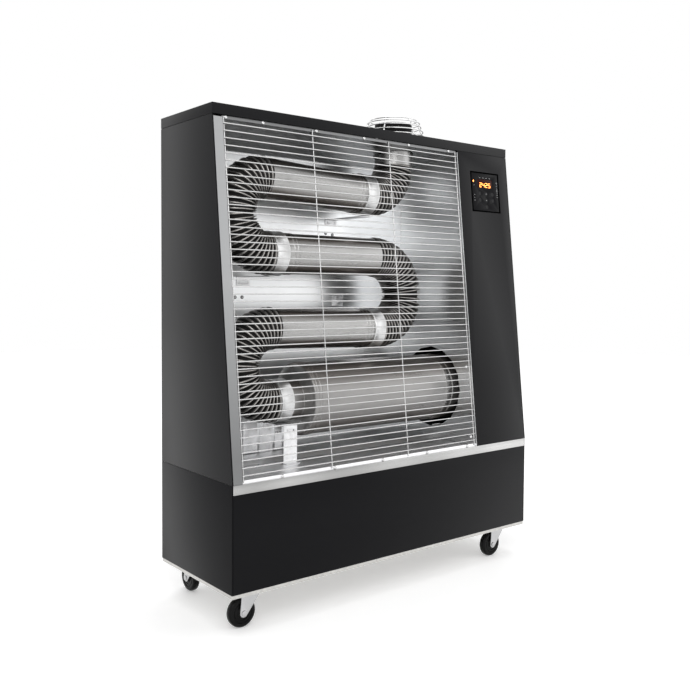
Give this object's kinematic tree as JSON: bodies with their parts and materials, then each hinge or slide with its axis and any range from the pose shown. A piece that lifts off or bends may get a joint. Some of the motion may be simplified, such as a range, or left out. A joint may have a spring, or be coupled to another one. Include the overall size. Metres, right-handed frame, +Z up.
{
  "type": "diesel infrared heater",
  "caption": "Floor-standing diesel infrared heater: leaning black cabinet on swivel casters, wire grille over radiant tubes with pleated bends, top flue and a control panel.",
  "frame": {"origin": "middle of the footprint, on the ground under the wheels", "axes": "+X to the right as seen from the front, towards the control column; +Y from the grille side to the back; +Z up"},
  "size_m": [1.06, 0.3874, 1.3362],
  "materials": {
    "black_powder_coat": "satin powder coat",
    "galvanised": "galvanised sheet",
    "brushed_steel": "brushed stainless",
    "polished_reflector": "bright rolled sheet",
    "chrome_wire": "bright plated wire",
    "tinted_steel": "brushed stainless with heat tint",
    "pleated_steel": "pleated stainless",
    "collar_steel": "bright stainless",
    "zinc": "bright zinc plate",
    "cast_aluminium": "as cast",
    "motor_grey": "satin paint",
    "tank_black": "moulded",
    "gloss_black": "gloss",
    "key_grey": "satin",
    "caster_black": "hard gloss rubber",
    "hose_rubber": "matt"
  },
  "bodies": {
    "cabinet": {"base_deck": "galvanised", "base_front_panel": "black_powder_coat", "base_pan": "galvanised", "base_shell": "black_powder_coat", "burner_housing": "cast_aluminium", "burner_motor": "motor_grey", "combustion_cylinder": "tinted_steel", "control_bezel": "gloss_black", "control_board": "motor_grey", "control_column": "black_powder_coat", "cylinder_collar": "collar_steel", "cylinder_stand": "galvanised", "flue_elbow": "pleated_steel", "flue_guard": "chrome_wire", "flue_stub": "tinted_steel", "fuel_hose": "hose_rubber", "fuel_pump": "cast_aluminium", "fuel_tank": "tank_black", "grille": "chrome_wire", "ignition_transformer": "motor_grey", "lid": "black_powder_coat", "lower_bracket": "galvanised", "lower_collar": "collar_steel", "lower_left_bend": "pleated_steel", "lower_tube": "tinted_steel", "mains_gland": "tank_black", "middle_bracket": "galvanised", "middle_collar": "collar_steel", "middle_tube": "tinted_steel", "rear_panel": "black_powder_coat", "reflector_back": "polished_reflector", "reflector_floor": "polished_reflector", "reflector_left": "polished_reflector", "reflector_right": "polished_reflector", "reflector_top": "polished_reflector", "right_bend": "pleated_steel", "side_panel_left": "black_powder_coat", "side_panel_right": "black_powder_coat", "trim_strip": "brushed_steel", "upper_bracket": "galvanised", "upper_collar": "collar_steel", "upper_left_bend": "pleated_steel", "upper_tube": "tinted_steel"},
    "swivel_front_left": {"caster_fork_front_left": "zinc"},
    "roller_front_left": {"caster_wheel_front_left": "caster_black"},
    "swivel_front_right": {"caster_fork_front_right": "zinc"},
    "roller_front_right": {"caster_wheel_front_right": "caster_black"},
    "swivel_rear_left": {"caster_fork_rear_left": "zinc"},
    "roller_rear_left": {"caster_wheel_rear_left": "caster_black"},
    "swivel_rear_right": {"caster_fork_rear_right": "zinc"},
    "roller_rear_right": {"caster_wheel_rear_right": "caster_black"},
    "blower": {"blower_impeller": "cast_aluminium"},
    "cap": {"filler_cap": "tank_black"},
    "key_1_cap": {"key_1": "key_grey"},
    "key_2_cap": {"key_2": "key_grey"},
    "key_3_cap": {"key_3": "key_grey"},
    "key_4_cap": {"key_4": "key_grey"},
    "key_5_cap": {"key_5": "key_grey"},
    "key_6_cap": {"key_6": "key_grey"},
    "key_7_cap": {"key_7": "key_grey"}
  },
  "joints": [
    {"name": "caster_swivel_front_left", "type": "hinge", "parent": "cabinet", "child": "swivel_front_left", "pos_m": [-0.452, -0.14075, 0.0902], "axis": [0, 0, 1], "continuous": true},
    {"name": "wheel_roll_front_left", "type": "hinge", "parent": "swivel_front_left", "child": "roller_front_left", "pos_m": [-0.474, -0.14075, 0.0375], "axis": [0, 1, 0], "continuous": true},
    {"name": "caster_swivel_front_right", "type": "hinge", "parent": "cabinet", "child": "swivel_front_right", "pos_m": [0.452, -0.14075, 0.0902], "axis": [0, 0, 1], "continuous": true},
    {"name": "wheel_roll_front_right", "type": "hinge", "parent": "swivel_front_right", "child": "roller_front_right", "pos_m": [0.43, -0.14075, 0.0375], "axis": [0, 1, 0], "continuous": true},
    {"name": "caster_swivel_rear_left", "type": "hinge", "parent": "cabinet", "child": "swivel_rear_left", "pos_m": [-0.452, 0.13425, 0.0902], "axis": [0, 0, 1], "continuous": true},
    {"name": "wheel_roll_rear_left", "type": "hinge", "parent": "swivel_rear_left", "child": "roller_rear_left", "pos_m": [-0.452, 0.15625, 0.0375], "axis": [1, 0, 0], "continuous": true},
    {"name": "caster_swivel_rear_right", "type": "hinge", "parent": "cabinet", "child": "swivel_rear_right", "pos_m": [0.452, 0.13425, 0.0902], "axis": [0, 0, 1], "continuous": true},
    {"name": "wheel_roll_rear_right", "type": "hinge", "parent": "swivel_rear_right", "child": "roller_rear_right", "pos_m": [0.452, 0.15625, 0.0375], "axis": [1, 0, 0], "continuous": true},
    {"name": "blower_spin", "type": "hinge", "parent": "cabinet", "child": "blower", "pos_m": [0.446, 0.00225, 0.5629], "axis": [0, 1, 0], "continuous": true},
    {"name": "filler_cap_turn", "type": "hinge", "parent": "cabinet", "child": "cap", "pos_m": [0.29, 0.17371, 0.3042], "axis": [0, 0.866, 0.5], "range_deg": [0, 540]},
    {"name": "key_1_press", "type": "slide", "parent": "cabinet", "child": "key_1_cap", "axis": [0, 0.9942, -0.1071], "range_m": [0, 0.0005], "stiffness_N_per_m": 800, "springref_m": -0.001},
    {"name": "key_2_press", "type": "slide", "parent": "cabinet", "child": "key_2_cap", "axis": [0, 0.9942, -0.1071], "range_m": [0, 0.0005], "stiffness_N_per_m": 800, "springref_m": -0.001},
    {"name": "key_3_press", "type": "slide", "parent": "cabinet", "child": "key_3_cap", "axis": [0, 0.9942, -0.1071], "range_m": [0, 0.0005], "stiffness_N_per_m": 800, "springref_m": -0.001},
    {"name": "key_4_press", "type": "slide", "parent": "cabinet", "child": "key_4_cap", "axis": [0, 0.9942, -0.1071], "range_m": [0, 0.0005], "stiffness_N_per_m": 800, "springref_m": -0.001},
    {"name": "key_5_press", "type": "slide", "parent": "cabinet", "child": "key_5_cap", "axis": [0, 0.9942, -0.1071], "range_m": [0, 0.0005], "stiffness_N_per_m": 800, "springref_m": -0.001},
    {"name": "key_6_press", "type": "slide", "parent": "cabinet", "child": "key_6_cap", "axis": [0, 0.9942, -0.1071], "range_m": [0, 0.0005], "stiffness_N_per_m": 800, "springref_m": -0.001},
    {"name": "key_7_press", "type": "slide", "parent": "cabinet", "child": "key_7_cap", "axis": [0, 0.9942, -0.1071], "range_m": [0, 0.0005], "stiffness_N_per_m": 800, "springref_m": -0.001}
  ]
}
